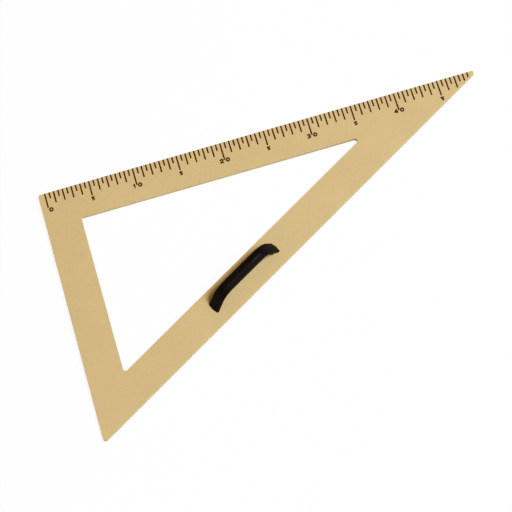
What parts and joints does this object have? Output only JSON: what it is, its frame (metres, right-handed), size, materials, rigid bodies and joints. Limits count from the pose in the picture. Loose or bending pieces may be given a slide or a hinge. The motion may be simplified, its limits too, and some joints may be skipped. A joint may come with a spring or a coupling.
{
  "type": "board set square",
  "caption": "Flat right-angled set square for a blackboard, with a triangular opening, a printed centimetre scale and a bow handle to hold it by.",
  "frame": {"origin": "under the middle of the board's outline, on its back face", "axes": "+X along the ruler edge to the narrow tip, +Y towards the ruler edge, +Z out of the printed face"},
  "size_m": [0.5, 0.2901, 0.0309],
  "materials": {
    "board": "smooth tan fibre board with a thin matt lacquer",
    "print": "dark brown screen-printed ink",
    "black_plastic": "moulded black plastic, satin",
    "zinc_steel": "bright zinc-plated steel"
  },
  "bodies": {
    "root": {"plate": "board", "scale_marks": "print", "scale_numerals": "print", "handle": "black_plastic", "screw_lower": "zinc_steel", "screw_upper": "zinc_steel"}
  },
  "joints": []
}
